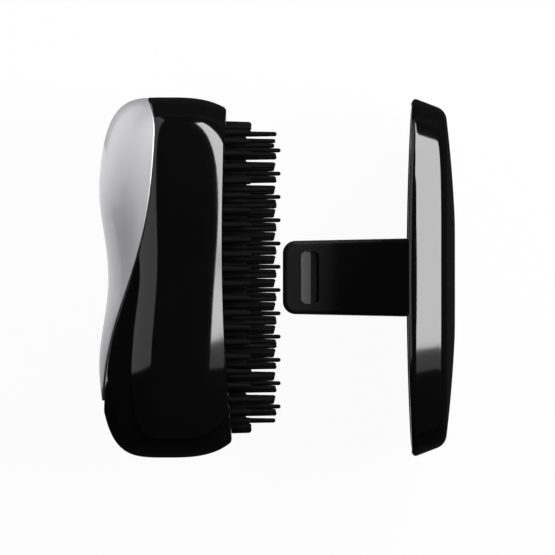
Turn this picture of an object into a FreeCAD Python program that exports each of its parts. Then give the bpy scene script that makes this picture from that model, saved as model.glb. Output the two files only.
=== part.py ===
"""Palm-held detangling hair brush with a pull-off cap, lying on its side.

X runs from the silver back towards the tooth tips and on to the cap, Y along the brush, Z up across it.
The forms are drawn about the lowest point of the body's rim, then set down with the widest line of the side
on the ground and the middle of the whole over the origin.
"""
import FreeCAD
import Part
import math
import os
from FreeCAD import Vector

# Body: overall size and the form of its hollow shell.
body_length = 90.0
body_width = 68.0
body_depth = 31.2
widest_depth = 13.75
shell_wall = 2.2
rim_round = 1.6
rim_radius = 568.0
rim_low_offset = 9.5
back_waist = 2.6
back_swell_reach = 24.4
side_waist = 1.6
side_waist_reach = 17.0
barrel_reach = 26.0
shoulder_lean_share = 0.067
plan_power = 4.5
barrel_power = 3.0
end_power = 4.0
side_power = 2.15

# Seam between the black shell and the silver back cover, an S seen from the side.
seam_gap = 0.16
seam_centre_depth = 23.35
seam_swing = 7.05
seam_centre_drop = 1.4
seam_upper_reach = 23.8
seam_lower_reach = 18.0
seam_hook_start = 36.0
seam_hook_reach = 8.3
seam_hook = 1.9
cover_lip_wall = 1.2
cover_lip_reach = 3.0
cover_root_reach = 2.4
cover_fit = 0.15

# Tooth pads, one on each side of the tongue's way, the carrier behind them and the ledge that carries it.
pad_sink = 0.6
pad_thickness = 2.0
pad_fit = 0.2
carrier_thickness = 1.8
ledge_width = 1.6
ledge_thickness = 1.6
hook_wall = 1.2
hook_width = 7.0
hook_fit = 0.15
hook_catch = 0.7
hook_nose = 1.0
stake_radius = 1.3
stake_head = 0.6
stake_fit = 0.1

# Teeth: two heights in columns across the width, and a ring of stouter ones round the edge.
tooth_column_margin = 0.9
tooth_column_pitch = 3.4
tooth_row_pitch = 5.82
long_tooth_height = 14.5
short_tooth_height = 6.0
edge_tooth_height = 7.2
long_tooth_root = 1.5
long_tooth_tip = 1.0
short_tooth_root = 1.4
short_tooth_tip = 1.0
edge_tooth_root = 1.8
edge_tooth_tip = 1.3
edge_tooth_pitch = 3.6
edge_tooth_margin = 2.3
tooth_clear = 0.55
tooth_root_sink = 0.8
column_row_shares = (0.46, 0.86, 0.16, 0.66, 0.26, 0.76, 0.06)
column_height_shares = (1.00, 0.91, 0.93, 0.89, 0.92, 0.90, 0.93)

# Cap: a shallow tray whose tongue plugs into the brush.
cap_length = 89.6
cap_width = 68.0
cap_depth = 12.2
cap_wall = 1.9
cap_rim_radius = 940.0
cap_rim_round = 1.5
cap_wall_straight = 1.7
cap_corner = 2.6
cap_draft = 21.0
cap_crown = 1.1
cap_flat = 0.3
cap_closed_gap = 6.8
cap_travel = 39.3

# Tongue of the cap, with a catch pocket in each face.
tongue_length = 41.1
tongue_tip_width = 18.4
tongue_root_width = 20.0
tongue_thickness = 4.0
tongue_corner = 3.2
tongue_nose_round = 1.2
foot_length = 29.0
foot_width = 8.0
foot_thickness = 2.0
foot_corner = 3.0
pocket_from_tip = 4.6
pocket_length = 4.4
pocket_width = 13.2
pocket_depth = 0.9
pocket_corner = 1.4
pocket_ramp = 2.4
pocket_wall_slope = 0.5

# Socket for the tongue inside the body, and its two sprung catch arms.
socket_wall = 1.6
socket_fit = 0.4
socket_tail = 1.0
socket_mouth_sink = 0.9
socket_lead_in = 0.9
flange_margin = 4.0
flange_thickness = 1.6
window_fit = 0.2
arm_width = 11.0
arm_thickness = 1.3
arm_tail = 1.2
arm_root_depth = 10.4
nose_bite = 0.7
nose_flat = 0.9
nose_release = 1.9
nose_lead = 1.0
nose_fit = 0.1

# One overrun for every cut.
overrun = 1.0

# Stations of the lofted forms.
around_count = 48
front_level_shares = (1.0, 0.8, 0.6, 0.4, 0.2)
back_level_shares = (0.0, 0.09, 0.18, 0.28, 0.39, 0.51, 0.63, 0.745, 0.845, 0.925, 0.978)
hook_place_shares = ((-0.55, 1), (0.0, 1), (0.55, 1), (-0.55, -1), (0.0, -1), (0.55, -1))
stake_place_shares = ((-0.72, 0.3), (-0.36, 0.62), (0.36, 0.62), (0.72, 0.3))

half_length = body_length / 2
front_reach = barrel_reach / 4
angles = [2 * math.pi * step / around_count for step in range(around_count)]
loop_parameters = [step / around_count for step in range(around_count + 1)]


def smooth_loop(points):
    """A closed smooth wire through evenly numbered points, so that every loop has the same knots."""
    curve = Part.BSplineCurve()
    curve.interpolate(Points=points, Parameters=loop_parameters, PeriodicFlag=True)
    return Part.Wire([curve.toShape()])


def side_pinch(y):
    """Share of the width left at y, where the sides draw in at the grip."""
    return 1 - side_waist / (body_width / 2) * math.exp(-(y / side_waist_reach) ** 2)


def plan_place(angle, long_axis, cross_axis):
    """Place on the rounded plan outline: |y/long|^p + |z/cross|^p = 1, drawn in at the grip."""
    along = abs(math.cos(angle) / long_axis) ** plan_power
    across = abs(math.sin(angle) / cross_axis) ** plan_power
    radius = (along + across) ** (-1 / plan_power)
    y = radius * math.cos(angle)
    return y, radius * math.sin(angle) * side_pinch(y)


# The pinch takes a little off the greatest width, so the outline is drawn that much wider.
fullest_share = max(plan_place(angle, half_length, body_width / 2)[1] for angle in angles) / (body_width / 2)
half_width = body_width / 2 / fullest_share


def back_line(y):
    """Depth of the back along its middle, with a dip for the palm between two swells."""
    swell = (1 - math.cos(math.pi * min(abs(y) / back_swell_reach, 1))) / 2
    return -body_depth + back_waist * (1 - swell)


def widest_line(y, angle):
    """Depth of the widest line, which leans towards the rim along each side."""
    return -widest_depth + shoulder_lean_share * y * math.sin(angle) ** 2


def dome_power(angle):
    """Fullness of the back: boxy at the two ends, rounder across the sides."""
    return side_power + (end_power - side_power) * math.cos(angle) ** 2


def back_point(angle, level_share, inset):
    """Point of the back: x = w + (b - w) sin(f)^(2/n), plan share cos(f)^(2/n), f from rim to pole."""
    rise = level_share * math.pi / 2
    power = 2 / dome_power(angle)
    plan_share = math.cos(rise) ** power if level_share < 1 else 0
    y, z = plan_place(angle, half_length - inset, half_width - inset)
    y, z = y * plan_share, z * plan_share
    start = widest_line(y, angle)
    return Vector(start + (back_line(y) + inset - start) * math.sin(rise) ** power, y, z)


def front_point(angle, level_share, inset):
    """Point of the barrel-shaped front: plan share (1 - (d/a)^p)^(1/p) at d in front of the widest line."""
    y, z = plan_place(angle, half_length - inset, half_width - inset)
    start = widest_line(y, angle)
    ahead = (front_reach - start) * level_share
    plan_share = (1 - (ahead / barrel_reach) ** barrel_power) ** (1 / barrel_power)
    return Vector(start + ahead, y * plan_share, z * plan_share)


def body_blank(inset):
    """The solid body form, drawn in by inset all over but open-ended past the rim."""
    front = [[front_point(angle, share, inset) for angle in angles] for share in front_level_shares]
    back = [[back_point(angle, share, inset) for angle in angles] for share in back_level_shares]
    pole = Part.Vertex(back_point(0, 1, inset))
    return Part.makeLoft([smooth_loop(points) for points in front + back] + [pole], True)


def before_rim():
    """Everything in front of the curved rim."""
    height = 2 * body_width
    centre = Vector(rim_radius, rim_low_offset, -height / 2)
    return Part.makeCylinder(rim_radius, height, centre, Vector(0, 0, 1))


def surface_depth(y, z):
    """Depth of the back's outer surface over the plan place y, z."""
    z_full = z / side_pinch(y)
    angle = math.atan2(z_full, y)
    edge_y, edge_z = plan_place(angle, half_length, half_width)
    share = min(math.hypot(y, z_full) / math.hypot(edge_y, edge_z / side_pinch(edge_y)), 1)
    power = dome_power(angle)
    start = widest_line(y, angle)
    return start + (back_line(y) - start) * (1 - share ** power) ** (1 / power)


def seam_depth(y):
    """Depth of the seam at y: a long S that hooks back at the top end."""
    along = y + seam_centre_drop
    blend = (1 + math.tanh(along / seam_lower_reach)) / 2
    reach = seam_lower_reach + (seam_upper_reach - seam_lower_reach) * blend
    hook = max(y - seam_hook_start, 0) / seam_hook_reach
    return -seam_centre_depth + seam_swing * math.tanh(along / reach) - seam_hook * hook ** 2


def seam_band(shift, depth):
    """A band that stands square through the shell along the seam, shifted towards the rim."""
    centre = half_length / 8
    outer, inner = [], []
    for angle in angles:
        near, far = 0, 2 * half_length
        for _ in range(60):
            reach = (near + far) / 2
            y = centre + reach * math.cos(angle)
            z = reach * math.sin(angle)
            inside = surface_depth(y, z) < seam_depth(y) + shift
            near, far = (reach, far) if inside else (near, reach)
        step = overrun / 100
        slope_y = (surface_depth(y + step, z) - surface_depth(y - step, z)) / (2 * step)
        slope_z = (surface_depth(y, z + step) - surface_depth(y, z - step)) / (2 * step)
        inward = Vector(1, -slope_y, -slope_z).normalize()
        point = Vector(surface_depth(y, z), y, z)
        outer.append(point - inward * overrun)
        inner.append(point + inward * depth)
    return Part.makeLoft([smooth_loop(outer), smooth_loop(inner)], False, True)


def pieces_by_depth(shape, bands):
    """Solids that the bands part the shape into, the one furthest back first."""
    parted = shape.generalFuse(bands)[0]
    return sorted(parted.Solids, key=lambda solid: solid.CenterOfMass.x)


def rim_edges(shape, low, high):
    """Edges that lie wholly between two depths."""
    return [edge for edge in shape.Edges if edge.BoundBox.XMin > low and edge.BoundBox.XMax < high]


def rounded_plate(length, width, corner, thickness, near):
    """A flat plate with round corners, long in Y and wide in Z, that starts at depth near."""
    y, z = length / 2 - corner, width / 2 - corner
    corners = ((y, z, 0), (-y, z, 90), (-y, -z, 180), (y, -z, 270))
    arcs = []
    for centre_y, centre_z, turn in corners:
        places = []
        for step in (0, 45, 90):
            angle = math.radians(turn + step)
            reach_y, reach_z = corner * math.cos(angle), corner * math.sin(angle)
            places.append(Vector(near, centre_y + reach_y, centre_z + reach_z))
        arcs.append(Part.Arc(*places).toShape())
    edges = []
    for number, arc in enumerate(arcs):
        start = arcs[number - 1].Vertexes[-1].Point
        edges += [Part.LineSegment(start, arc.Vertexes[0].Point).toShape(), arc]
    return Part.Face(Part.Wire(edges)).extrude(Vector(thickness, 0, 0))


def block(x_near, x_far, length, width, y=0, z=0):
    """A plain block between two depths, centred on y, z."""
    return Part.makeBox(x_far - x_near, length, width, Vector(x_near, y - length / 2, z - width / 2))


def layer(blank, near, far):
    """The slice of a body form between two depths behind the rim's lowest point."""
    return blank.common(block(-far, -near, 2 * body_length, 2 * body_width))


def xz_prism(points, width):
    """A prism with an outline in X and Z, centred across Y."""
    places = [Vector(x, -width / 2, z) for x, z in points]
    return Part.Face(Part.makePolygon(places + places[:1])).extrude(Vector(0, width, 0))


# Depths that several pieces share.
carrier_front = pad_sink + pad_thickness
carrier_back = carrier_front + carrier_thickness
ledge_back = carrier_back + ledge_thickness
ledge_inset = shell_wall + ledge_width
channel_width = tongue_thickness + 2 * socket_fit
channel_length = tongue_root_width + 2 * socket_fit
socket_width = channel_width + 2 * socket_wall
socket_span = channel_length + 2 * socket_wall
pad_inner_edge = socket_width / 2 + pad_fit
arm_axis = channel_width / 2 + arm_thickness / 2
cap_pulled_off = cap_closed_gap + cap_travel
cap_floor = cap_pulled_off + cap_depth - cap_flat - cap_wall
tongue_tip = cap_floor - tongue_length
foot_post_place = (foot_length + tongue_root_width) / 4

# The noses lie at the foot of the pockets' ramps when the cap is on.
nose_crest = cap_travel - tongue_tip - pocket_from_tip - pocket_ramp - nose_fit
arm_end = nose_crest + nose_release + arm_tail
socket_length = arm_end + socket_tail


def shell_and_cover():
    """The black shell with its ledge, and the silver cover with the lip that locates it."""
    solid = body_blank(0).cut(before_rim()).Solids[0]
    solid = solid.makeFillet(rim_round, rim_edges(solid, -rim_round, front_reach))
    hollow = body_blank(shell_wall)
    through = shell_wall + cover_fit + cover_lip_wall + overrun
    cover, _, shell = pieces_by_depth(
        solid.cut(hollow), [seam_band(-seam_gap / 2, through), seam_band(seam_gap / 2, through)])
    ledge = layer(body_blank(shell_wall / 2).cut(body_blank(ledge_inset)), carrier_back, ledge_back)
    shell = shell.fuse(ledge).removeSplitter()

    lip_inset = shell_wall + cover_fit
    lip_ring = body_blank(lip_inset).cut(body_blank(lip_inset + cover_lip_wall))
    lip_ends = [seam_band(-cover_lip_reach, through), seam_band(cover_lip_reach, through)]
    lip = pieces_by_depth(lip_ring, lip_ends)[1]
    root_ring = body_blank(shell_wall / 2).cut(body_blank(lip_inset + cover_lip_wall / 2))
    root_ends = [seam_band(-cover_root_reach, through), seam_band(-2 * seam_gap, through)]
    root = pieces_by_depth(root_ring, root_ends)[1]
    return shell, cover.fuse(root).fuse(lip)


def tooth(root, tip, length):
    """One moulded tooth along X: a slim cone with a round tip."""
    top = length - tip / 2
    bend = math.sqrt(0.5) * tip / 2
    crest = Part.Arc(Vector(top, tip / 2, 0), Vector(top + bend, bend, 0), Vector(length, 0, 0)).toShape()
    places = (length, 0), (0, 0), (0, root / 2), (top, tip / 2)
    outline = Part.makePolygon([Vector(x, radius, 0) for x, radius in places])
    return Part.Face(Part.Wire(outline.Edges + [crest])).revolve(Vector(0, 0, 0), Vector(1, 0, 0), 360)


def pad_edge(angle, margin):
    """Place on the pad's outline, drawn in by a margin."""
    inset = shell_wall + pad_fit + margin
    point = front_point(angle, widest_depth / (widest_depth + front_reach), inset)
    return point.y, point.z


def edge_tooth_places():
    """Evenly spaced places round the edge of the near pad."""
    fine = [pad_edge(math.pi * step / 720, edge_tooth_margin) for step in range(721)]
    fine = [(y, z) for y, z in fine if z > pad_inner_edge + edge_tooth_root]
    run = [0]
    for (y0, z0), (y1, z1) in zip(fine, fine[1:]):
        run.append(run[-1] + math.hypot(y1 - y0, z1 - z0))
    count = round(run[-1] / edge_tooth_pitch)
    marks = [run[-1] * step / count for step in range(count + 1)]
    return [fine[next(i for i, length in enumerate(run) if length >= mark)] for mark in marks]


def field_tooth_places(edge_places):
    """Places of the near pad's long and short teeth: in turn along each column, clear of the edge teeth."""
    gap = (edge_tooth_root + long_tooth_root) / 2 + tooth_clear / 2
    places = []
    rows = math.ceil(half_length / tooth_row_pitch)
    for column, (row_share, height_share) in enumerate(zip(column_row_shares, column_height_shares)):
        z = pad_inner_edge + tooth_column_margin + column * tooth_column_pitch
        for half_row in range(-2 * rows, 2 * rows):
            y = (half_row / 2 + row_share) * tooth_row_pitch
            clear = min(math.hypot(y - edge_y, z - edge_z) for edge_y, edge_z in edge_places) > gap
            if within_edge(y, z) and clear:
                height = short_tooth_height if half_row % 2 else long_tooth_height * height_share
                places.append((y, z, height, half_row % 2))
    return places


def within_edge(y, z):
    """Whether a place lies inside the ring of edge teeth."""
    return math.hypot(y, z) < math.hypot(*pad_edge(math.atan2(z, y), edge_tooth_margin))


def near_bristle_pad():
    """The flexible pad on the near side of the tongue's way, with moulded teeth, and stakes on its back."""
    whole = layer(body_blank(shell_wall + pad_fit), pad_sink, carrier_front)
    other_side = block(-ledge_back, front_reach, 2 * body_length, 2 * body_width,
                       0, pad_inner_edge - body_width)
    plate = whole.cut(other_side)
    base = pad_sink + tooth_root_sink
    moulds = {}
    added = []
    edge_places = edge_tooth_places()
    teeth = [(y, z, edge_tooth_height, edge_tooth_root, edge_tooth_tip) for y, z in edge_places]
    for y, z, height, short in field_tooth_places(edge_places):
        sizes = (short_tooth_root, short_tooth_tip) if short else (long_tooth_root, long_tooth_tip)
        teeth.append((y, z, height) + sizes)
    for y, z, height, root, tip in teeth:
        if (height, root) not in moulds:
            moulds[height, root] = tooth(root, tip, base + height)
        one = moulds[height, root].copy()
        one.translate(Vector(-base, y, z))
        added.append(one)
    length = carrier_thickness + stake_head + pad_thickness / 2
    for y, z in stake_places(1):
        foot = Vector(-carrier_back - stake_head, y, z)
        added.append(Part.makeCylinder(stake_radius, length, foot, Vector(1, 0, 0)))
    return plate.multiFuse(added)


def stake_places(side):
    """Places of the stakes of the near pad, or of the far one where side is -1."""
    across = side * body_width / 2
    return [(y_share * half_length, z_share * across) for y_share, z_share in stake_place_shares]


def pad_carrier():
    """The stiff plate behind the pads, with a bar between them and snap hooks that grip the shell's ledge."""
    blank = body_blank(shell_wall + pad_fit)
    plate = layer(blank, carrier_front, carrier_back)
    middle = block(-body_depth, front_reach, 2 * body_length, socket_width)
    bar = layer(blank, pad_sink, carrier_back).common(middle)
    leg_inset = ledge_inset + hook_fit
    deepest = ledge_back + hook_fit + hook_nose
    inside = body_blank(leg_inset + hook_wall)
    legs = layer(body_blank(leg_inset).cut(inside), carrier_back - carrier_thickness / 2, deepest)
    noses = layer(body_blank(leg_inset - hook_catch).cut(inside), ledge_back + hook_fit, deepest)
    hooks = legs.fuse(noses)
    side_width = body_width / 2
    spots = [block(-body_depth, front_reach, hook_width, side_width, share * half_length, side * side_width)
             for share, side in hook_place_shares]
    kept = [hooks.common(spot) for spot in spots]
    opening = block(-body_depth, front_reach, socket_span + 2 * pad_fit, socket_width + 2 * pad_fit)
    stakes = stake_places(1) + stake_places(-1)
    hole_radius = stake_radius + stake_fit
    holes = [Part.makeCylinder(hole_radius, body_depth, Vector(-body_depth, y, z), Vector(1, 0, 0))
             for y, z in stakes]
    return plate.multiFuse([bar] + kept).cut([opening] + holes).removeSplitter()


def tongue_socket():
    """The channel that takes the cap's tongue, flanged behind the carrier and open to the catch arms."""
    body = block(-socket_length, -socket_mouth_sink, socket_span, socket_width)
    flange = rounded_plate(socket_span + 2 * flange_margin, socket_width + 2 * flange_margin, flange_margin,
                           flange_thickness, -carrier_back - flange_thickness)
    body = body.fuse(flange)
    channel = block(-body_depth, front_reach, channel_length, channel_width)
    mouth_width, mouth_length = channel_width + 2 * socket_lead_in, channel_length + 2 * socket_lead_in
    deep, wide = -socket_mouth_sink - socket_lead_in, -socket_mouth_sink + overrun
    flare_share = (socket_lead_in + overrun) / socket_lead_in
    wide_length = channel_length + (mouth_length - channel_length) * flare_share
    wide_width = channel_width + (mouth_width - channel_width) * flare_share
    lead_in = Part.makeLoft([rectangle(deep, channel_length, channel_width),
                             rectangle(wide, wide_length, wide_width)], True, True)
    body = body.cut([channel, lead_in])
    window_length = arm_width + 2 * window_fit
    groove_radius = arm_thickness / 2 + window_fit
    cuts = [block(-body_depth, -arm_root_depth, window_length, 2 * socket_width)]
    for side in (1, -1):
        start = Vector(-arm_root_depth, -window_length / 2, side * arm_axis)
        cuts.append(Part.makeCylinder(groove_radius, window_length, start, Vector(0, 1, 0)))
    return body.cut(cuts).removeSplitter()


def rectangle(x, length, width):
    """A closed rectangle across X, centred on the axis."""
    y, z = length / 2, width / 2
    corners = (y, z), (-y, z), (-y, -z), (y, -z), (y, z)
    return Part.makePolygon([Vector(x, *corner) for corner in corners])


def catch_arm(side):
    """One springy arm with a round root and a nose that drops into the tongue's pocket."""
    near, far = channel_width / 2, channel_width / 2 + arm_thickness
    leaf = block(-arm_end, -arm_root_depth, arm_width, arm_thickness, 0, (near + far) / 2)
    root = Part.makeCylinder(arm_thickness / 2, arm_width, Vector(-arm_root_depth, -arm_width / 2, arm_axis),
                             Vector(0, 1, 0))
    tip = tongue_thickness / 2 - nose_bite
    seat = near + arm_thickness / 2
    release = nose_crest + nose_release
    lead = nose_crest - nose_flat - nose_lead
    nose = xz_prism([(-release, seat), (-release, near), (-nose_crest, tip), (nose_flat - nose_crest, tip),
                     (-lead, near), (-lead, seat)], arm_width)
    arm = leaf.multiFuse([root, nose]).removeSplitter()
    return arm if side > 0 else arm.mirror(Vector(0, 0, 0), Vector(0, 0, 1))


def cap_level(rise, inset):
    """Draw-in of the cap's wall at a height above its rim: a straight foot, then a drafted wall."""
    slope = math.tan(math.radians(cap_draft))
    return inset + slope * max(rise - cap_wall_straight, 0)


def cap_blank(inset):
    """The cap's solid form, drawn in by inset, with a nearly flat crowned face."""
    deep = cap_depth - inset
    corner_start = deep - cap_crown - cap_corner
    wall_middle = (cap_wall_straight + corner_start) / 2
    rises = (-overrun, cap_wall_straight / 2, cap_wall_straight, wall_middle, corner_start)
    loops = [cap_loop(rise, cap_level(rise, inset)) for rise in rises]
    draft = math.radians(cap_draft)
    start_in = cap_level(corner_start, inset)
    for share in (0.2, 0.4, 0.6, 0.8):
        turn = draft + (math.pi / 2 - draft) * share
        rise = corner_start + cap_corner * (math.sin(turn) - math.sin(draft))
        loops.append(cap_loop(rise, start_in + cap_corner * (math.cos(draft) - math.cos(turn))))
    top_in = start_in + cap_corner * math.cos(draft)
    top_rise = corner_start + cap_corner * (1 - math.sin(draft))
    reach = cap_length / 2 - top_in
    for share in (0.96, 0.8, 0.6, 0.4, 0.2, 0.08):
        loops.append(cap_loop(deep - (deep - top_rise) * share ** 2, cap_length / 2 - reach * share))
    pole = Part.Vertex(Vector(cap_pulled_off + deep, 0, 0))
    blank = Part.makeLoft(loops + [pole], True)
    flat = cap_pulled_off + deep - cap_flat
    return blank.common(block(cap_pulled_off - 2 * overrun, flat, 2 * cap_length, 2 * cap_width))


def cap_loop(rise, draw_in):
    """One level of the cap: the plan outline drawn in, at a height above the rim."""
    share = 1 - draw_in / (cap_length / 2)
    scale_y, scale_z = cap_length / body_length, cap_width / body_width
    points = []
    for angle in angles:
        y, z = plan_place(angle, half_length, half_width)
        points.append(Vector(cap_pulled_off + rise, y * scale_y * share, z * scale_z * share))
    return smooth_loop(points)


def cap_shell():
    """The open tray of the cap, with two posts that hold the tongue's foot."""
    height = 2 * cap_width
    centre = Vector(cap_pulled_off + cap_rim_radius, 0, -height / 2)
    within = Part.makeCylinder(cap_rim_radius, height, centre, Vector(0, 0, 1))
    solid = cap_blank(0).common(within).Solids[0]
    rim = rim_edges(solid, cap_pulled_off - overrun, cap_pulled_off + 2 * overrun)
    solid = solid.makeFillet(cap_rim_round, rim)
    posts = [Part.makeCylinder(stake_radius, foot_thickness + stake_head + cap_wall / 2,
                               Vector(cap_floor + cap_wall / 2, side * foot_post_place, 0), Vector(-1, 0, 0))
             for side in (1, -1)]
    return solid.cut(cap_blank(cap_wall)).multiFuse(posts).removeSplitter()


def tongue_outline(near, far):
    """The tongue's outline in X and Y: a slight taper to a tip with round corners."""
    tip, root = tongue_tip_width / 2, tongue_root_width / 2
    bend = tongue_corner * (1 - math.sqrt(0.5))
    upper = Part.Arc(Vector(near + tongue_corner, tip, 0), Vector(near + bend, tip - bend, 0),
                     Vector(near, tip - tongue_corner, 0)).toShape()
    lower = Part.Arc(Vector(near, tongue_corner - tip, 0), Vector(near + bend, bend - tip, 0),
                     Vector(near + tongue_corner, -tip, 0)).toShape()
    places = (near + tongue_corner, -tip), (far, -root), (far, root), (near + tongue_corner, tip)
    ends = Part.makePolygon([Vector(x, y, 0) for x, y in places])
    flat = tip - tongue_corner
    front = Part.LineSegment(Vector(near, flat, 0), Vector(near, -flat, 0)).toShape()
    return Part.Wire(Part.__sortEdges__([upper, front, lower] + ends.Edges))


def cap_tongue():
    """The flat tongue with its foot and the two ramped catch pockets."""
    blade = Part.Face(tongue_outline(tongue_tip, cap_floor)).extrude(Vector(0, 0, tongue_thickness))
    blade.translate(Vector(0, 0, -tongue_thickness / 2))
    nose_end = tongue_tip + tongue_corner + tongue_nose_round / 2
    nose = [edge for edge in blade.Edges if edge.BoundBox.XMax < nose_end
            and edge.BoundBox.ZLength < tongue_thickness / 2]
    blade = blade.makeFillet(tongue_nose_round, nose)
    foot = rounded_plate(foot_length, foot_width, foot_corner, foot_thickness, cap_floor - foot_thickness)
    holes = [Part.makeCylinder(stake_radius + stake_fit, tongue_length + overrun,
                               Vector(tongue_tip, side * foot_post_place, 0), Vector(1, 0, 0))
             for side in (1, -1)]
    face = tongue_thickness / 2
    start = tongue_tip + pocket_from_tip
    outline = rounded_pocket(start)
    wedge = xz_prism([(start, face + overrun), (start, face), (start + pocket_ramp, face - pocket_depth),
                      (start + pocket_length - pocket_wall_slope, face - pocket_depth),
                      (start + pocket_length, face), (start + pocket_length, face + overrun)], pocket_width)
    pocket = wedge.common(outline)
    pockets = [pocket, pocket.mirror(Vector(0, 0, 0), Vector(0, 0, 1))]
    return blade.fuse(foot).cut(holes + pockets).removeSplitter()


def rounded_pocket(start):
    """A prism along Z with the pocket's round-cornered outline."""
    slab = block(start, start + pocket_length, pocket_width, 2 * tongue_thickness)
    upright = [edge for edge in slab.Edges if edge.BoundBox.ZLength > tongue_thickness]
    return slab.makeFillet(pocket_corner, upright)


def place_and_write(pieces):
    """Set the pieces down on the ground, with the middle of the whole over the origin, and write them."""
    steps = [half_length * (step / 200 - 1) for step in range(401)]
    back = min(surface_depth(y, 0) for y in steps)
    front = cap_floor + cap_wall
    move = Vector(-(back + front) / 2, 0, body_width / 2)
    os.makedirs("parts", exist_ok=True)
    for name, shape in pieces.items():
        solid = shape.Solids[0].copy()
        solid.translate(move)
        solid.exportStep(f"parts/{name}.step")
        print(name, len(shape.Solids), solid.isValid(), round(solid.Volume, 1))


main_housing, back_cover = shell_and_cover()
near_pad = near_bristle_pad()
place_and_write({
    "main_housing": main_housing,
    "back_cover": back_cover,
    "near_bristle_pad": near_pad,
    "far_bristle_pad": near_pad.mirror(Vector(0, 0, 0), Vector(0, 0, 1)),
    "pad_carrier": pad_carrier(),
    "tongue_socket": tongue_socket(),
    "near_catch_arm": catch_arm(1),
    "far_catch_arm": catch_arm(-1),
    "cap_shell": cap_shell(),
    "cap_tongue": cap_tongue(),
})
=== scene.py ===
import bpy
import numpy as np
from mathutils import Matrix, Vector


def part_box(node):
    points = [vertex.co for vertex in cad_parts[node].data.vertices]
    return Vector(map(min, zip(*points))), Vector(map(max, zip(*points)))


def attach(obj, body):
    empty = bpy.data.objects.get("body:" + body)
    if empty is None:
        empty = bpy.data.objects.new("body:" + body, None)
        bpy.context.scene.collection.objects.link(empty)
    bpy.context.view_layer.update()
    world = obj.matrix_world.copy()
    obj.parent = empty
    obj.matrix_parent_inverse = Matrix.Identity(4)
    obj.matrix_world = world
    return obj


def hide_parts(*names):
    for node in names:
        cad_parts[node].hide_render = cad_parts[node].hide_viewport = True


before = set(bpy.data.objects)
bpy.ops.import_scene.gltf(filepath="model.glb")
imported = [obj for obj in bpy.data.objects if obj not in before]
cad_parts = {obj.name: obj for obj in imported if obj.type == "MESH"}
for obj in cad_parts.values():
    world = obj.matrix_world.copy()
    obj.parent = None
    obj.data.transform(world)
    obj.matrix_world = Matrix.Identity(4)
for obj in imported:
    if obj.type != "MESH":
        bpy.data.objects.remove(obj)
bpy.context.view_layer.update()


# The black shell is one moulding of polished plastic: a barrel in front of its widest line, a dome behind it
# and a rounded rim on a shallow curve. Its back and sides draw in a little at the grip, for the palm.
# The dome is cut back along the seam, a long S down each side, where the silver cover is let in.
body_length, body_width, body_depth = 0.0900, 0.0680, 0.0312
widest_depth, shell_wall, inner_rim_round = 0.01375, 0.0022, 0.0003
rim_radius, rim_low_offset = 0.568, 0.0095
back_waist, back_swell_reach = 0.0026, 0.0244
side_waist, side_waist_reach = 0.0003, 0.017
barrel_reach, shoulder_lean_share = 0.026, 0.067
plan_power, barrel_power, end_power, side_power, end_focus = 4.5, 3.0, 4.0, 2.15, 8
seam_gap, seam_edge_round = 0.00016, 0.00025
seam_centre_depth, seam_swing, seam_centre_drop = 0.02335, 0.00705, 0.0014
seam_upper_reach, seam_lower_reach = 0.0238, 0.018
seam_hook_start, seam_hook_reach, seam_hook = 0.036, 0.0083, 0.0019
cap_pulled_off, cap_reach = 0.0461, 0.0119
rim_round_sides, rim_round_more_at_ends, rim_round_focus = 0.0005, 0.0011, 6
lean_sample_share, lean_sample_steps, level_halvings = 0.66, 50, 40
ring_points, dome_rings, barrel_rings, rim_rings, lip_rings, seam_edge_rings = 360, 90, 40, 15, 6, 6
inner_dome_rings, inner_dome_last, inner_barrel_rings, inner_barrel_last = 24, 0.97, 14, 0.98
around = 2 * np.pi * np.arange(ring_points) / ring_points
rim_round = rim_round_sides + rim_round_more_at_ends * np.cos(around) ** rim_round_focus
forward = np.array([1.0, 0.0, 0.0])
rim_place = np.array([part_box("cap_shell")[1].x - cap_pulled_off - cap_reach, 0, body_width / 2])


def side_pinch(y):
    """Share of the width left at y: one less a bell curve at the grip."""
    return 1 - side_waist / (body_width / 2) * np.exp(-(y / side_waist_reach) ** 2)


def plan_place(angle, long_axis, cross_axis):
    """Place on the plan outline |y/long|^p + |z/cross|^p = 1, with z drawn in at the grip."""
    along = np.abs(np.cos(angle) / long_axis) ** plan_power
    across = np.abs(np.sin(angle) / cross_axis) ** plan_power
    radius = (along + across) ** (-1 / plan_power)
    y = radius * np.cos(angle)
    return y, radius * np.sin(angle) * side_pinch(y)


half_length = body_length / 2
half_width = (body_width / 2) ** 2 / plan_place(around, half_length, body_width / 2)[1].max()


def back_line(y):
    """Depth of the back along its middle: a cosine dip between two swells."""
    swell = (1 - np.cos(np.pi * np.minimum(np.abs(y) / back_swell_reach, 1))) / 2
    return -body_depth + back_waist * (1 - swell)


def widest_line(y, angle):
    """Depth of the widest line, which leans towards the rim along each side."""
    return -widest_depth + shoulder_lean_share * y * np.sin(angle) ** 2


def back_surface(angle, level, inset=0.0):
    """Dome point: x = w + (b - w) sin(f)^(2/n) at the plan share cos(f)^(2/n), f the level in quarter turns.

    w is the widest line, b the back line, and n is larger at the ends than at the sides.
    """
    power = 2 / (side_power + (end_power - side_power) * np.cos(angle) ** end_focus)
    rise = level * np.pi / 2
    y, z = plan_place(angle, half_length - inset, half_width - inset)
    share = np.maximum(np.cos(rise), 0) ** power
    start = widest_line(y * share, angle)
    x = start + (back_line(y * share) + inset - start) * np.sin(rise) ** power
    return np.stack([x, y * share, z * share], -1)


def front_surface(angle, depth, inset=0.0):
    """Barrel point at a depth: the plan outline times (1 - (d/a)^p)^(1/p), d from the widest line."""
    y, z = plan_place(angle, half_length - inset, half_width - inset)
    ahead = np.maximum(depth - widest_line(y, angle), 0)
    share = (1 - (ahead / barrel_reach) ** barrel_power) ** (1 / barrel_power)
    return np.stack([depth + 0 * share, y * share, z * share], -1)


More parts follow.
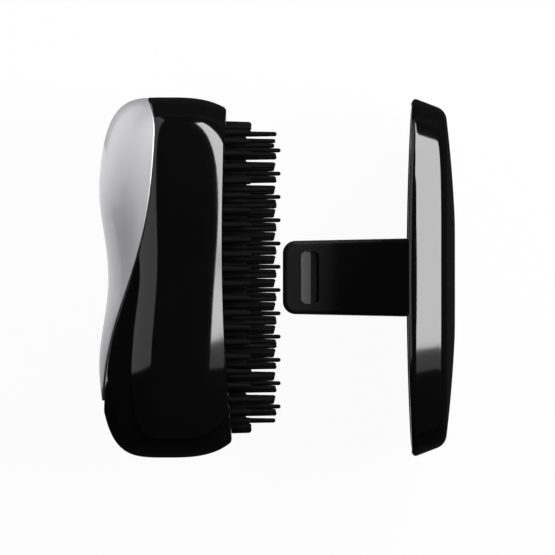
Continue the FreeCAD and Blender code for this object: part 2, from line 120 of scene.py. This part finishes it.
def rim_depth(y):
    """Depth of the curved rim at y: an arc about a far centre."""
    return rim_radius - np.sqrt(rim_radius ** 2 - (y - rim_low_offset) ** 2)


def seam_depth(y):
    """Depth of the seam: a tanh S along the side that hooks back at the top end."""
    along = y + seam_centre_drop
    blend = (1 + np.tanh(along / seam_lower_reach)) / 2
    reach = seam_lower_reach + (seam_upper_reach - seam_lower_reach) * blend
    hook = np.maximum(y - seam_hook_start, 0) / seam_hook_reach
    return -seam_centre_depth + seam_swing * np.tanh(along / reach) - seam_hook * hook ** 2


def level_where(beyond):
    """Level of the dome at which a test on its points turns true, by halving the level's range."""
    low, high = np.zeros_like(around), np.ones_like(around)
    for _ in range(level_halvings):
        middle = (low + high) / 2
        past = beyond(middle)
        low, high = np.where(past, low, middle), np.where(past, middle, high)
    return middle


def seam_level(shift):
    """Level at which the dome meets the seam, shifted towards the rim."""
    def beyond(level):
        point = back_surface(around, level)
        return point[:, 0] < seam_depth(point[:, 1]) + shift
    return level_where(beyond)


def unit(vectors):
    """Vectors of length one: each divided by its own length."""
    return vectors / np.linalg.norm(vectors, axis=-1, keepdims=True)


def inwards(vectors, ring):
    """Unit vectors at the points of a ring, each turned round where it leads away from the ring's middle."""
    made = unit(vectors)
    return made * np.sign(np.sum(made * (ring.mean(axis=0) - ring), axis=-1, keepdims=True))


def turned_edge(last, before, radius, depth):
    """Rings that turn a surface's edge inwards: a quarter circle along its own run, then straight in."""
    run = unit(last - before)
    inward = inwards(np.cross(run, np.roll(last, -1, axis=0) - np.roll(last, 1, axis=0)), last)
    turns = np.linspace(0, np.pi / 2, seam_edge_rings + 1)[1:]
    edge = [last + radius * (np.sin(turn) * run + (1 - np.cos(turn)) * inward) for turn in turns]
    return edge + [edge[-1] + inward * (depth - radius)]


def inner_level(edge):
    """Level at which the dome's inside is as deep as the ring at the inner edge of the seam."""
    return level_where(lambda level: back_surface(around, level, shell_wall)[:, 0] < edge[:, 0])


def inner_dome(edge):
    """Rings of the dome's inside from the widest line to the ring at the inner edge of the seam."""
    level = inner_level(edge)
    shares = np.linspace(0, inner_dome_last, inner_dome_rings)
    return [back_surface(around, level * share, shell_wall) for share in shares] + [edge]


def outward(vertices, *face_sets):
    """Vertices and faces of a closed shape: the faces are turned round if its signed volume is negative."""
    volume = 0.0
    for faces in face_sets:
        corner = vertices[faces]
        for second in range(1, faces.shape[1] - 1):
            volume += np.sum(corner[:, 0] * np.cross(corner[:, second], corner[:, second + 1]))
    return vertices, *(faces if volume > 0 else faces[:, ::-1] for faces in face_sets)


def skin(rings, poles=None):
    """Vertices and faces over rings of points: two poles close them, or the last ring joins the first."""
    points = np.stack(rings, 1)
    count, along = points.shape[:2]
    index = np.arange(count * along).reshape(count, along)
    onward = np.roll(index, -1, axis=1)
    if poles is not None:
        index, onward = index[:, :-1], onward[:, :-1]
    corners = [index, np.roll(index, -1, axis=0), np.roll(onward, -1, axis=0), onward]
    quads = np.stack(corners, -1).reshape(-1, 4)
    vertices = points.reshape(-1, 3)
    if poles is None:
        return outward(vertices, quads)
    first, last = index[:, 0], onward[:, -1]
    tips = np.full((2, count), len(vertices)) + [[0], [1]]
    first_fan = np.stack([np.roll(first, -1), first, tips[0]], -1)
    last_fan = np.stack([last, np.roll(last, -1), tips[1]], -1)
    fans = np.concatenate([first_fan, last_fan])
    return outward(np.concatenate([vertices, np.stack(poles)]), quads, fans)


def piece(name, shapes, material, body, slot, *nodes):
    """One smooth object made of closed shapes, which rides on a body in place of its CAD nodes."""
    vertices, faces, start = [], [], 0
    for points, *face_sets in shapes:
        faces += [face for face_set in face_sets for face in (face_set + start).tolist()]
        vertices.append(points)
        start += len(points)
    mesh = bpy.data.meshes.new(name)
    mesh.from_pydata((np.concatenate(vertices) + rim_place).tolist(), [], faces)
    mesh.polygons.foreach_set("use_smooth", np.ones(len(mesh.polygons), dtype=bool))
    mesh.materials.append(material)
    made = bpy.data.objects.new(name, mesh)
    bpy.context.scene.collection.objects.link(made)
    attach(made, body)
    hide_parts(*nodes)


def shell_rings():
    """Rings from the seam's inner edge down the inside, over the rounded rim and back up the outside.

    The rim is a circle that starts along the wall's own lean, taken from two places a small step apart.
    """
    rim = rim_depth(front_surface(around, 0 * around)[:, 1])
    step = rim_round / lean_sample_steps
    near = rim - rim_round * lean_sample_share
    wall, behind = (np.linalg.norm(front_surface(around, x)[:, 1:], axis=-1) for x in (near, near - step))
    lean = np.arctan((behind - wall) / step)
    start = rim - rim_round * (1 - np.sin(lean))
    outer = front_surface(around, start)
    radial = unit(outer * [0, 1, 1])
    turned = []
    for turn in np.linspace(1, 0, rim_rings):
        bend = lean + (np.pi / 2 - lean) * turn
        draw = rim_round * (np.cos(bend) - np.cos(lean))
        rise = rim - rim_round * (1 - np.sin(bend)) - start
        turned.append(outer + draw[:, None] * radial + rise[:, None] * forward)
    mouth = front_surface(around, rim, shell_wall)
    lip = [mouth + inner_rim_round * ((1 - np.sin(turn)) * radial - (1 - np.cos(turn)) * forward)
           for turn in np.linspace(np.pi / 2, 0, lip_rings)]
    widest = widest_line(outer[:, 1], around)
    inside = [front_surface(around, widest + (rim - inner_rim_round - widest) * share, shell_wall)
              for share in np.linspace(0, inner_barrel_last, inner_barrel_rings)[1:]]
    barrel = [front_surface(around, start + (widest - start) * share)
              for share in np.linspace(0, 1, barrel_rings)[1:-1]]
    level = seam_level(seam_gap / 2 + seam_edge_round)
    dome = [back_surface(around, level * share) for share in np.linspace(0, 1, dome_rings)]
    edge = turned_edge(dome[-1], dome[-2], seam_edge_round, shell_wall)
    return inner_dome(edge[-1])[::-1] + inside + lip + turned + barrel + dome + edge[:-1]


class Shade:
    """A shader socket with arithmetic: an operator adds a Math node, and node() adds any other."""

    def __init__(self, tree, socket=None):
        self.tree, self.socket = tree, socket

    def node(self, kind, settings, inputs, output=0):
        """One output of a new node, with its settings first and then the values or links of its sockets."""
        made = self.tree.nodes.new(kind)
        for name, value in settings.items():
            setattr(made, name, value)
        for name, value in inputs.items():
            if isinstance(value, Shade):
                self.tree.links.new(value.socket, made.inputs[name])
            else:
                made.inputs[name].default_value = value
        return Shade(self.tree, made.outputs[output])

    def math(self, operation, first, second):
        """The outcome of an operation on two values, each a number or a socket."""
        return self.node("ShaderNodeMath", {"operation": operation}, {0: first, 1: second})

    def __add__(self, other):
        return self.math("ADD", self, other)

    def __radd__(self, other):
        return self.math("ADD", other, self)

    def __mul__(self, other):
        return self.math("MULTIPLY", self, other)

    def __rmul__(self, other):
        return self.math("MULTIPLY", other, self)

    def feed(self, shader, name):
        """Links this socket to a named one of a shader."""
        self.tree.links.new(self.socket, shader.inputs[name])


def finish(name, settings):
    """A new material, its shader with fixed settings, and the surface's own coordinates."""
    made = bpy.data.materials.new(name)
    made.use_nodes = True
    shader = made.node_tree.nodes["Principled BSDF"]
    for key, value in settings.items():
        shader.inputs[key].default_value = value
    place = Shade(made.node_tree).node("ShaderNodeTexCoord", {}, {}, "Object")
    return made, shader, place


def grain(place, scale, detail=2.0):
    """Soft noise from 0 to 1 with features of about 1/scale metres."""
    return place.node("ShaderNodeTexNoise", {}, {"Vector": place, "Scale": scale, "Detail": detail})


def tone(place, share, dark, light):
    """Colour between a dark and a light tone, by a share from 0 to 1."""
    return place.node("ShaderNodeMix", {"data_type": "RGBA"}, {0: share, 6: dark, 7: light}, 2)


def span(share, low, high):
    """Value between a low and a high one, by a share from 0 to 1."""
    return low + share * (high - low)


def uneven(place, scale, strength, distance):
    """Surface direction tilted by soft noise of some scale and of a height up to a distance in metres."""
    height = grain(place, scale)
    return place.node("ShaderNodeBump", {}, {"Height": height, "Strength": strength, "Distance": distance})


def polished_black():
    """Polished black plastic: deep colour, slight haze from handling and a trace of moulding ripple."""
    made, shader, place = finish("polished_black", {"IOR": 1.57})
    haze = grain(place, scale=70.0, detail=4.0)
    tone(place, haze, (0.0014, 0.0014, 0.0017, 1), (0.0022, 0.0022, 0.0025, 1)).feed(shader, "Base Color")
    span(haze, 0.055, 0.105).feed(shader, "Roughness")
    uneven(place, scale=160.0, strength=0.02, distance=0.0004).feed(shader, "Normal")
    return made


gloss_black = polished_black()
piece("black_shell", [skin(shell_rings())], gloss_black, "brush", "gloss_black", "main_housing")


# The silver cover is a thin metallised plastic dome let into the back of the shell. It snaps in with a lip
# under the shell's edge, so only its smooth outside and the softly rounded edge along the seam show.
cover_outer_rings, cover_outer_last, cover_crowding = 120, 0.995, 1.3
cover_inner_rings, cover_inner_first, cover_inner_last = 30, 0.99, 0.03


def cover_rings():
    """Rings from the middle of the inside to the seam, over the turned edge and up the dome's outside."""
    level = seam_level(-seam_gap / 2 - seam_edge_round)
    outer_shares = np.linspace(0, cover_outer_last, cover_outer_rings) ** cover_crowding
    dome = [back_surface(around, level + (1 - level) * share) for share in outer_shares]
    edge = turned_edge(dome[0], dome[1], seam_edge_round, shell_wall)
    inner = inner_level(edge[-1])
    inner_shares = np.linspace(cover_inner_first, cover_inner_last, cover_inner_rings)
    inside = [back_surface(around, inner + (1 - inner) * share, shell_wall) for share in inner_shares]
    return inside + edge[::-1] + dome


def metallised_silver():
    """Bright metal coating under clear lacquer: fine flake in the colour and a soft, even gloss."""
    lacquered = {"Metallic": 1.0, "Coat Weight": 0.3, "Coat Roughness": 0.05}
    made, shader, place = finish("metallised_silver", lacquered)
    flake = grain(place, scale=5200.0)
    tone(place, flake, (0.88, 0.873, 0.90, 1), (0.94, 0.933, 0.96, 1)).feed(shader, "Base Color")
    span(flake, 0.58, 0.66).feed(shader, "Roughness")
    return made


dome_top = np.zeros(1), np.ones(1)
cover = skin(cover_rings(), [back_surface(*dome_top, shell_wall)[0], back_surface(*dome_top)[0]])
piece("silver_cover", [cover], metallised_silver(), "brush", "silver", "back_cover")


# Two flexible pads lie side by side in the mouth, one on each side of the tongue's way, staked from behind.
# Their teeth are one moulding with them: long and short in turn along each column, stout ones round the edge.
# A tooth is given by its height, its width at the root and its width at the tip.
pad_sink, pad_thickness, pad_fit, pad_edge_round = 0.0006, 0.0020, 0.0002, 0.0004
pad_inner_edge, tooth_column_margin, tooth_column_pitch, tooth_row_pitch = 0.0042, 0.0009, 0.0034, 0.00582
edge_tooth_pitch, edge_tooth_margin = 0.0036, 0.0023
long_tooth = 0.0145, 0.0015, 0.0010
short_tooth = 0.0060, 0.0014, 0.0010
edge_tooth = 0.0072, 0.0018, 0.0013
tooth_clear, tooth_root_sink, tooth_flare, tooth_flare_reach = 0.00055, 0.0008, 0.0003, 0.0008
column_row_shares = np.array([0.46, 0.86, 0.16, 0.66, 0.26, 0.76, 0.06])
column_height_shares = np.array([1.00, 0.91, 0.93, 0.89, 0.92, 0.90, 0.93])
tooth_flare_shares = np.array([1.5, 0.45, 0.0])
tooth_points, outline_steps, pad_inner_points, pad_edge_rings = 10, 720, 90, 5
pad_face_rings, pad_face_first, pad_face_last = 8, 0.1, 0.99
front_reach_share, wear_spread, wear_roughness = 0.25, 0.15, 0.1
front_reach = barrel_reach * front_reach_share


def pad_outline(angle, margin):
    """Place on the pad's outline, drawn in by a margin: the inside of the barrel at a depth near the rim.

    The depth is the same share of the way from the widest line to the front reach all round.
    """
    inset = shell_wall + pad_fit + margin
    start = widest_line(plan_place(angle, half_length - inset, half_width - inset)[0], angle)
    depth = start + (front_reach - start) * widest_depth / (widest_depth + front_reach)
    return front_surface(angle, depth, inset)[:, 1:]


def near_arc(margin):
    """The part of the outline, drawn in by a margin, that lies on the near side of the tongue's way."""
    fine = pad_outline(np.pi * np.arange(outline_steps + 1) / outline_steps, margin)
    return fine[fine[:, 1] > pad_inner_edge + (edge_tooth[1] if margin else 0)]


def edge_tooth_places():
    """Places at even steps along the near pad's outline drawn in by the margin."""
    fine = near_arc(edge_tooth_margin)
    run = np.concatenate([[0], np.cumsum(np.linalg.norm(np.diff(fine, axis=0), axis=-1))])
    count = round(run[-1] / edge_tooth_pitch)
    return fine[np.searchsorted(run[:-1], run[-1] * np.arange(count + 1) / count)]


def field_tooth_places(edge_places):
    """Places, kinds and heights of the near pad's teeth in columns at even steps, clear of the edge teeth."""
    gap = (edge_tooth[1] + long_tooth[1]) / 2 + tooth_clear / 2
    rows = int(np.ceil(half_length / tooth_row_pitch))
    columns = np.arange(len(column_row_shares))
    column, half_row = np.meshgrid(columns, np.arange(-2 * rows, 2 * rows), indexing="ij")
    column, half_row = column.ravel(), half_row.ravel()
    y = (half_row / 2 + column_row_shares[column]) * tooth_row_pitch
    z = pad_inner_edge + tooth_column_margin + column * tooth_column_pitch
    spots = np.stack([y, z], -1)
    limit = np.linalg.norm(pad_outline(np.arctan2(z, y), edge_tooth_margin), axis=-1)
    clear = np.linalg.norm(spots[:, None] - edge_places, axis=-1).min(axis=1) > gap
    kept = (np.linalg.norm(spots, axis=-1) < limit) & clear
    short = half_row[kept] % 2 == 1
    height = np.where(short, short_tooth[0], long_tooth[0] * column_height_shares[column[kept]])
    return spots[kept], short, height


def teeth(places, height, root, tip):
    """Slim cones along X with a flared foot and a round tip, each a profile turned about its own axis."""
    bottom = np.full(len(places), -pad_sink)
    length = height + pad_sink
    top = length - tip / 2
    foot = np.array([-tooth_root_sink / 2, tooth_flare_reach / 3, tooth_flare_reach])
    slim = (root - (root - tip) * (foot[:, None] + tooth_root_sink) / (top + tooth_root_sink)) / 2
    flare = tooth_flare * tooth_flare_shares[:, None]
    turn = np.sin(np.pi / 4)
    along = np.concatenate([foot[:, None] + 0 * top, [top, top + turn * tip / 2]])
    radius = np.concatenate([slim + flare, tip / 2 * np.array([[1], [turn]]) + 0 * top])
    sides, rings, count = tooth_points, len(along), len(places)
    angle = 2 * np.pi * np.arange(sides) / sides
    points = np.empty((count, rings, sides, 3))
    points[..., 0] = (bottom + along).T[:, :, None]
    points[..., 1] = places[:, 0, None, None] + radius.T[:, :, None] * np.cos(angle)
    points[..., 2] = places[:, 1, None, None] + radius.T[:, :, None] * np.sin(angle)
    axis_ends = np.stack([bottom + along[0], bottom + length], -1)
    tips = np.stack([axis_ends, *(np.tile(places[:, k, None], 2) for k in (0, 1))], -1)
    index = np.arange(rings * sides).reshape(rings, sides)
    beside = np.roll(index, -1, axis=1)
    quads = np.stack([index[:-1], beside[:-1], beside[1:], index[1:]], -1).reshape(-1, 4)
    first = np.stack([beside[0], index[0], np.full(sides, rings * sides)], -1)
    last = np.stack([index[-1], beside[-1], np.full(sides, rings * sides + 1)], -1)
    vertices = np.concatenate([points.reshape(count, -1, 3), tips], axis=1)
    start = len(vertices[0]) * np.arange(count)[:, None, None]
    ends = np.concatenate([first, last])
    return outward(vertices.reshape(-1, 3), (quads + start).reshape(-1, 4), (ends + start).reshape(-1, 3))


def pad_plate():
    """The near pad's plate, as rings about its middle: front face, rounded edge, side and back."""
    arc = near_arc(0)
    loop = np.concatenate([arc, np.linspace(arc[-1], arc[0], pad_inner_points)[1:-1]])
    middle = loop.mean(axis=0)
    run = np.roll(loop, -1, axis=0) - np.roll(loop, 1, axis=0)
    inward = inwards(np.stack([-run[:, 1], run[:, 0]], -1), loop)
    shares = np.linspace(pad_face_first, pad_face_last, pad_face_rings)
    face = [middle + (loop + inward * pad_edge_round - middle) * share for share in shares]
    turns = np.linspace(0, np.pi / 2, pad_edge_rings)
    places = face + [loop + inward * pad_edge_round * (1 - np.sin(turn)) for turn in turns] + [loop]
    drops = [0] * len(face) + [pad_edge_round * (1 - np.cos(turn)) for turn in turns] + [pad_thickness]
    rings = [np.column_stack([np.full(len(loop), -pad_sink - drop), place])
             for place, drop in zip(places, drops)]
    return skin(rings, [np.array([-pad_sink, *middle]), np.array([-pad_sink - pad_thickness, *middle])])


def eroded_black(name, depth, roughness, specular):
    """Black plastic of some depth of colour, with the fine grain of a spark-eroded mould."""
    made, shader, place = finish(name, {"Specular IOR Level": specular})
    wear = grain(place, scale=90.0)
    worn, fresh = (1 - wear_spread) * depth, (1 + wear_spread) * depth
    tone(place, wear, (*worn, 1), (*fresh, 1)).feed(shader, "Base Color")
    span(wear, roughness, roughness + wear_roughness).feed(shader, "Roughness")
    uneven(place, scale=4200.0, strength=0.08, distance=0.00005).feed(shader, "Normal")
    return made


tooth_depth = np.array([0.0040, 0.0040, 0.0043])
tooth_black = eroded_black("tooth_black", tooth_depth, roughness=0.60, specular=0.04)
edge_places = edge_tooth_places()
field_places, is_short, field_heights = field_tooth_places(edge_places)
near_shapes = [
    pad_plate(),
    teeth(edge_places, np.full(len(edge_places), edge_tooth[0]), *edge_tooth[1:]),
    teeth(field_places[is_short], field_heights[is_short], *short_tooth[1:]),
    teeth(field_places[~is_short], field_heights[~is_short], *long_tooth[1:]),
]
far_shapes = [outward(points * [1, 1, -1], *face_sets) for points, *face_sets in near_shapes]
piece("near_tooth_pad", near_shapes, tooth_black, "brush", "tooth_black", "near_bristle_pad")
piece("far_tooth_pad", far_shapes, tooth_black, "brush", "tooth_black", "far_bristle_pad")


# Behind the pads, a stiff carrier and the tongue's socket are satin mouldings, and the two catch arms in the
# socket are natural springy plastic. The carrier snaps into the shell, and all four keep their CAD shapes.
def springy_white():
    """Natural acetal: waxy, slightly warm white."""
    made, shader, place = finish("springy_white", {})
    bloom = grain(place, scale=300.0)
    tone(place, bloom, (0.70, 0.69, 0.65, 1), (0.76, 0.75, 0.71, 1)).feed(shader, "Base Color")
    span(bloom, 0.34, 0.42).feed(shader, "Roughness")
    return made


def dress(material, *nodes):
    """Gives CAD nodes a finish in place of their plain one."""
    for node in nodes:
        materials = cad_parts[node].data.materials
        materials.clear()
        materials.append(material)


acetal = springy_white()
satin_depth = np.array([0.0090, 0.0090, 0.0096])
satin = eroded_black("satin_black", satin_depth, roughness=0.30, specular=0.55)
dress(satin, "pad_carrier", "tongue_socket")
dress(acetal, "near_catch_arm", "far_catch_arm")


# The cap is a shallow tray of the same polished black plastic, with a straight foot, a drafted wall, a round
# corner and a slightly crowned face. Two posts inside, with upset heads, hold the foot of the tongue.
cap_length, cap_depth, cap_wall, cap_flat, cap_flat_blend = 0.0896, 0.0122, 0.0019, 0.0003, 0.00005
cap_rim_radius, cap_rim_round, cap_inner_round = 0.940, 0.0015, 0.0002
cap_wall_straight, cap_corner, cap_crown = 0.0017, 0.0036, 0.0011
cap_wall_rings, cap_corner_rings, cap_face_rings, cap_rim_rings, cap_lip_rings = 11, 20, 60, 14, 5
cap_draft, cap_slope_rounds = np.radians(21.0), 20
post_radius, post_head, post_head_share, post_points, post_head_rings = 0.0013, 0.0006, 1.35, 32, 5
foot_thickness, foot_length, tongue_root_width = 0.0020, 0.0290, 0.0200
plan_y, cap_z = plan_place(around, half_length, half_width)
cap_y = plan_y * cap_length / body_length


def cap_ring(rise, draw):
    """One ring of the cap: the plan outline drawn in, at a height above the rim."""
    share = (1 - draw / (cap_length / 2)) + 0 * around
    return np.stack([cap_pulled_off + rise + 0 * around, cap_y * share, cap_z * share], -1)


def cap_profile(inset):
    """Heights and draw-ins up one side: drafted wall, round corner, then a parabola to the flat middle.

    The corner ends where it leans as the parabola does, which a few rounds settle.
    """
    deep = cap_depth - inset
    corner_start = deep - cap_crown - cap_corner
    start_in = inset + np.tan(cap_draft) * (corner_start - cap_wall_straight)
    slope = 0.0
    for _ in range(cap_slope_rounds):
        turn_end = np.pi / 2 - np.arctan(slope)
        top_in = start_in + cap_corner * (np.cos(cap_draft) - np.cos(turn_end))
        top_rise = corner_start + cap_corner * (np.sin(turn_end) - np.sin(cap_draft))
        slope = 2 * (deep - top_rise) / (cap_length / 2 - top_in)
    wall = np.linspace(0, 1, cap_wall_rings + 1)[:-1]
    rise = [cap_wall_straight + (corner_start - cap_wall_straight) * wall]
    draw = [inset + (start_in - inset) * wall]
    turn = np.linspace(cap_draft, turn_end, cap_corner_rings)
    rise.append(corner_start + cap_corner * (np.sin(turn) - np.sin(cap_draft)))
    draw.append(start_in + cap_corner * (np.cos(cap_draft) - np.cos(turn)))
    share = np.linspace(1, 0, cap_face_rings)[1:-1]
    fall = (deep - top_rise) * share ** 2 - cap_flat
    rise.append(deep - cap_flat - (fall + np.sqrt(fall ** 2 + cap_flat_blend ** 2)) / 2)
    draw.append(cap_length / 2 - (cap_length / 2 - top_in) * share)
    return np.concatenate(rise), np.concatenate(draw)


def drafted(rise):
    """How far the draft draws the outer wall in at a height: none up to the end of the straight foot."""
    return np.tan(cap_draft) * np.maximum(rise - cap_wall_straight, 0)


def cap_rings():
    """Rings from the middle of the inside down the inner wall, over the rounded rim and up the outside."""
    inside = [cap_ring(rise, draw) for rise, draw in zip(*cap_profile(cap_wall))]
    rim = cap_rim_radius - np.sqrt(cap_rim_radius ** 2 - cap_y ** 2)
    rises, draws = (values[cap_wall_rings:] for values in cap_profile(0.0))
    lowest = rim + cap_rim_round
    wall = [lowest + (rises[0] - lowest) * share for share in np.linspace(0, 1, cap_wall_rings + 1)[1:-1]]
    outside = [cap_ring(rise, drafted(rise)) for rise in wall]
    outside += [cap_ring(rise, draw) for rise, draw in zip(rises, draws)]
    lip = []
    for turn in np.linspace(np.pi / 2, 0, cap_lip_rings):
        rise = rim + cap_inner_round * (1 - np.cos(turn))
        lip.append(cap_ring(rise, cap_wall - cap_inner_round * (1 - np.sin(turn))))
    turned = []
    for turn in np.linspace(np.pi / 2, 0, cap_rim_rings):
        rise = rim + cap_rim_round * (1 - np.sin(turn))
        turned.append(cap_ring(rise, cap_rim_round * (1 - np.cos(turn)) + drafted(rise)))
    return inside[::-1] + lip + turned + outside


def cap_posts():
    """The two posts: a shank and a domed head, turned about X."""
    floor = cap_pulled_off + cap_reach - cap_wall
    turn = np.linspace(0, np.pi / 2, post_head_rings + 1)[:-1]
    along = np.concatenate([[-cap_wall / 2, foot_thickness], foot_thickness + post_head * np.sin(turn)])
    radius = np.concatenate([[post_radius, post_radius], post_radius * post_head_share * np.cos(turn)])
    angle = 2 * np.pi * np.arange(post_points) / post_points
    shapes = []
    for side in (1, -1):
        y = side * (foot_length + tongue_root_width) / 4
        rings = [np.stack([floor - x + 0 * angle, y + r * np.cos(angle), -r * np.sin(angle)], -1)
                 for x, r in zip(along, radius)]
        shapes.append(skin(rings, [np.array([floor + cap_wall / 2, y, 0]),
                                   np.array([floor - foot_thickness - post_head, y, 0])]))
    return shapes


cap_floor_middle = np.array([cap_pulled_off + cap_reach - cap_wall, 0, 0])
cap = skin(cap_rings(), [cap_floor_middle, cap_floor_middle + [cap_wall, 0, 0]])
piece("black_cap", [cap] + cap_posts(), gloss_black, "cap", "gloss_black", "cap_shell")


# The tongue is a flat satin blade with ramped catch pockets, moulded with a foot that the cap's posts hold.
# It keeps its CAD shape.
dress(satin, "cap_tongue")


# The brush lies on a plain white floor between long soft boxes, a bright one on its right with a short dim
# end and a dim one on its left. The camera looks straight down on its side from far off. Black cards that
# the camera does not see lie round the brush, so that the polished edges stay dark against the white.
photo_width, pixel = 555, 0.00025
camera_distance, sensor_width = 6.0, 36.0
white_share, floor_reach, card_height, world_grey = 0.96, 1.5, 0.0005, 0.03
# Name, place, size and power of each soft box
soft_boxes = (
    ("right_box", (0.60, 1.45, 0.68), (3.00, 0.40), 39.0),
    ("right_end", (0.60, -0.10, 0.68), (0.10, 0.40), 0.09),
    ("left_box", (-0.52, 1.53, 0.30), (3.20, 0.60), 4.8),
)
# Limits of each card, low and high in x and then in y
black_cards = (
    (-0.055, floor_reach, 0.061, floor_reach),
    (-0.060, floor_reach, 0.043, 0.061),
    (-0.060, -0.042, 0.034, 0.043),
    (0.040, floor_reach, -0.044, 0.044),
    (-floor_reach, floor_reach, -floor_reach, -0.044),
    (-0.072, -0.040, -0.044, -0.0285),
    (-floor_reach, -0.072, -0.044, -0.004),
    (-0.300, -0.085, -0.004, 0.013),
    (-0.300, -0.140, 0.013, 0.030),
    (-floor_reach, -0.300, -0.004, 0.070),
    (-0.400, -0.055, 0.120, floor_reach),
)


def white_sheet():
    """White floor: white to the camera and in reflections, with a little true shading for the shadow."""
    made, shader, place = finish("white_sheet", {"Roughness": 0.9})
    fibre = grain(place, scale=40.0)
    tone(place, fibre, (0.79, 0.79, 0.79, 1), (0.81, 0.81, 0.81, 1)).feed(shader, "Base Color")
    path = place.node("ShaderNodeLightPath", {}, {})
    rays = path.socket.node.outputs
    glossy = Shade(place.tree, rays["Is Glossy Ray"])
    through = Shade(place.tree, rays["Is Transmission Ray"])
    seen = place.math("MAXIMUM", place.math("MAXIMUM", path, glossy), through)
    glow = place.node("ShaderNodeEmission", {}, {"Color": (1, 1, 1, 1), "Strength": 1.0})
    shaded = Shade(place.tree, shader.outputs[0])
    place.node("ShaderNodeMixShader", {}, {0: seen * white_share, 1: shaded, 2: glow}).feed(
        made.node_tree.nodes["Material Output"], "Surface")
    return made


def flat_sheets(name, rectangles, height, material):
    """Flat rectangles at one height, given by their limits in x and y, as one object of the stage."""
    corners = [(x, y, height) for left, right, low, high in rectangles
               for x, y in ((left, low), (right, low), (right, high), (left, high))]
    mesh = bpy.data.meshes.new(name)
    mesh.from_pydata(corners, [], np.arange(len(corners)).reshape(-1, 4).tolist())
    mesh.materials.append(material)
    made = bpy.data.objects.new(name, mesh)
    bpy.context.scene.collection.objects.link(made)
    return made


def card_black():
    """Matt black card: an even dark tone with a trace of fibre."""
    made, shader, place = finish("card_black", {"Roughness": 0.95, "Specular IOR Level": 0.1})
    fibre = grain(place, scale=400.0)
    tone(place, fibre, (0.010, 0.010, 0.010, 1), (0.014, 0.014, 0.014, 1)).feed(shader, "Base Color")
    return made


flat_sheets("floor", [(-floor_reach, floor_reach, -floor_reach, floor_reach)], 0.0, white_sheet())
cards = flat_sheets("cards", black_cards, card_height, card_black())
cards.visible_camera = cards.visible_diffuse = cards.visible_shadow = False

for name, place, size, power in soft_boxes:
    light = bpy.data.lights.new(name, "AREA")
    light.shape = "RECTANGLE"
    light.size, light.size_y = size
    light.energy = power
    lamp = bpy.data.objects.new(name, light)
    lamp.location = place
    lamp.rotation_euler = Vector((-place[0], 0, -place[2])).to_track_quat("-Z", "Y").to_euler()
    lamp.visible_camera = False
    bpy.context.scene.collection.objects.link(lamp)

world = bpy.data.worlds.new("studio")
world.use_nodes = True
world.node_tree.nodes["Background"].inputs["Color"].default_value = (world_grey, world_grey, world_grey, 1)
bpy.context.scene.world = world

camera_data = bpy.data.cameras.new("camera")
camera_data.sensor_width = sensor_width
camera_data.lens = sensor_width * camera_distance / (photo_width * pixel)
camera = bpy.data.objects.new("camera", camera_data)
camera.location = (pixel / 2, 0, body_width / 2 + camera_distance)
bpy.context.scene.collection.objects.link(camera)
bpy.context.scene.camera = camera
bpy.context.scene.view_settings.view_transform = "Standard"
